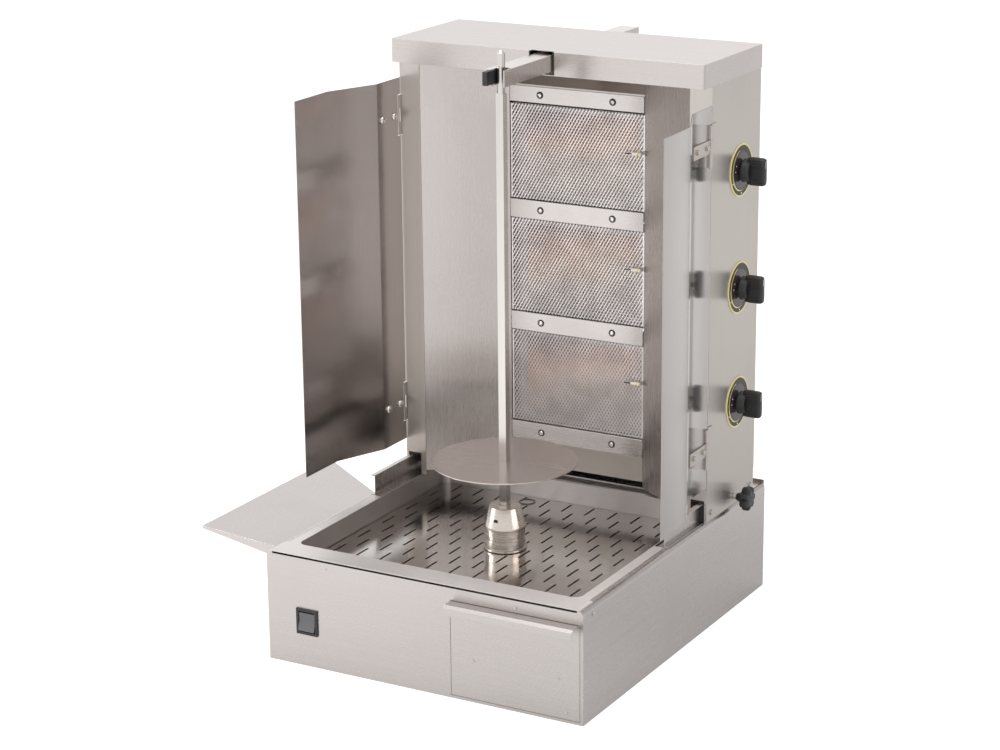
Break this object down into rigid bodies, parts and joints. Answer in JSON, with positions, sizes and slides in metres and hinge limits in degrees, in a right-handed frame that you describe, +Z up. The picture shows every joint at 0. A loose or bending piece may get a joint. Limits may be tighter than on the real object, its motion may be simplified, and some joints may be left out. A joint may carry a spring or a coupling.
{
  "type": "vertical rotisserie broiler",
  "caption": "Countertop vertical spit broiler: gas burner column with swing-out shields, turning meat spit with disc, drip pan over a fat drawer, and a side shelf.",
  "frame": {"origin": "on the spit axis, in the plane of the worktop the base stands on", "axes": "+X to the operator's right (the control knobs' side), +Y to the back, +Z up along the spit"},
  "size_m": [0.7273, 0.684, 0.892],
  "materials": {
    "stainless": "brushed stainless sheet",
    "bright_stainless": "bright annealed stainless",
    "machined_steel": "turned stainless bar",
    "zinc_steel": "zinc plated",
    "black_enamel": "satin black",
    "black_plastic": "moulded black",
    "bronze": "sintered bronze",
    "brass": "machined brass",
    "burner_ceramic": "unglazed perforated ceramic",
    "mesh_steel": "expanded stainless mesh"
  },
  "bodies": {
    "base": {"base_shell": "stainless", "base_bottom": "stainless", "base_rear_panel": "stainless", "top_frame": "stainless", "slide_rails": "stainless", "drip_pan": "bright_stainless", "perforated_plate": "bright_stainless", "switch_bezel": "black_plastic", "drawer_runners": "zinc_steel", "gear_motor": "black_enamel", "motor_bracket": "zinc_steel", "drive_bearing": "bronze", "cable_gland": "black_plastic", "base_screws": "zinc_steel"},
    "shelf": {"side_shelf": "stainless"},
    "drawer": {"drawer_box": "stainless", "drawer_front": "stainless"},
    "rocker": {"switch_rocker": "black_plastic"},
    "spit": {"drive_shaft": "machined_steel", "chuck": "machined_steel", "spit_rod": "machined_steel"},
    "disc": {"meat_disc": "bright_stainless"},
    "pull_pin": {"lock_pin": "machined_steel"},
    "column": {"column_side_left": "stainless", "column_side_right": "stainless", "column_rear": "stainless", "top_cover": "stainless", "slot_trim": "black_plastic", "arm_guide": "stainless", "wing_left": "stainless", "wing_right": "stainless", "burner_frame": "stainless", "column_floor": "stainless", "slide_shoes": "black_plastic", "cross_strips": "stainless", "strip_screws": "zinc_steel", "burner_housings": "zinc_steel", "ceramic_plaques": "burner_ceramic", "mesh_screens": "mesh_steel", "igniters": "brass", "gas_manifold": "black_enamel", "gas_inlet": "brass", "gas_valves": "brass", "dials": "black_plastic", "hinge_leaves": "bright_stainless", "column_screws": "zinc_steel"},
    "arm": {"support_arm": "stainless", "arm_caps": "black_plastic"},
    "left_door": {"door_left": "stainless", "door_hardware_left": "bright_stainless"},
    "right_door": {"door_right": "stainless", "door_hardware_right": "bright_stainless"},
    "clamp": {"clamp_knob": "black_plastic"},
    "tap_stem_1": {"valve_stem_1": "machined_steel"},
    "tap_knob_1": {"knob_1": "black_plastic"},
    "tap_stem_2": {"valve_stem_2": "machined_steel"},
    "tap_knob_2": {"knob_2": "black_plastic"},
    "tap_stem_3": {"valve_stem_3": "machined_steel"},
    "tap_knob_3": {"knob_3": "black_plastic"}
  },
  "joints": [
    {"name": "column_slide", "type": "slide", "parent": "base", "child": "column", "axis": [0, -1, 0], "range_m": [-0.03, 0.08]},
    {"name": "arm_slide", "type": "slide", "parent": "column", "child": "arm", "axis": [0, 1, 0], "range_m": [-0.03, 0.08]},
    {"name": "spit_spin", "type": "hinge", "parent": "base", "child": "spit", "pos_m": [0, 0, 0.2], "axis": [0, 0, 1], "continuous": true},
    {"name": "disc_lift", "type": "slide", "parent": "spit", "child": "disc", "axis": [0, 0, 1], "range_m": [0, 0.5]},
    {"name": "pin_pull", "type": "slide", "parent": "spit", "child": "pull_pin", "axis": [0, 1, 0], "range_m": [0, 0.055]},
    {"name": "left_door_swing", "type": "hinge", "parent": "column", "child": "left_door", "pos_m": [-0.2636, 0.145, 0.5], "axis": [0, 0, 1], "range_deg": [-95, 38]},
    {"name": "right_door_swing", "type": "hinge", "parent": "column", "child": "right_door", "pos_m": [0.2636, 0.145, 0.5], "axis": [0, 0, -1], "range_deg": [-95, 38]},
    {"name": "clamp_turn", "type": "hinge", "parent": "column", "child": "clamp", "pos_m": [0.28, 0.253, 0.184], "axis": [1, 0, 0], "range_deg": [0, 360]},
    {"name": "drawer_slide", "type": "slide", "parent": "base", "child": "drawer", "axis": [0, -1, 0], "range_m": [0, 0.3]},
    {"name": "switch_rock", "type": "hinge", "parent": "base", "child": "rocker", "pos_m": [-0.194, -0.246, 0.07], "axis": [1, 0, 0], "range_deg": [0, 14]},
    {"name": "shelf_lift", "type": "slide", "parent": "base", "child": "shelf", "axis": [0, 0, 1], "range_m": [0, 0.04]},
    {"name": "tap_turn_1", "type": "hinge", "parent": "column", "child": "tap_stem_1", "pos_m": [0.262, 0.26, 0.3336], "axis": [1, 0, 0], "range_deg": [0, 210]},
    {"name": "tap_push_1", "type": "slide", "parent": "tap_stem_1", "child": "tap_knob_1", "axis": [-1, 0, 0], "range_m": [0, 0.003], "stiffness_N_per_m": 500, "springref_m": -0.001},
    {"name": "tap_turn_2", "type": "hinge", "parent": "column", "child": "tap_stem_2", "pos_m": [0.262, 0.26, 0.5133], "axis": [1, 0, 0], "range_deg": [0, 210]},
    {"name": "tap_push_2", "type": "slide", "parent": "tap_stem_2", "child": "tap_knob_2", "axis": [-1, 0, 0], "range_m": [0, 0.003], "stiffness_N_per_m": 500, "springref_m": -0.001},
    {"name": "tap_turn_3", "type": "hinge", "parent": "column", "child": "tap_stem_3", "pos_m": [0.262, 0.26, 0.693], "axis": [1, 0, 0], "range_deg": [0, 210]},
    {"name": "tap_push_3", "type": "slide", "parent": "tap_stem_3", "child": "tap_knob_3", "axis": [-1, 0, 0], "range_m": [0, 0.003], "stiffness_N_per_m": 500, "springref_m": -0.001}
  ],
  "couplings": [
    {"joint": "arm_slide", "follows": "column_slide", "ratio": 1}
  ]
}
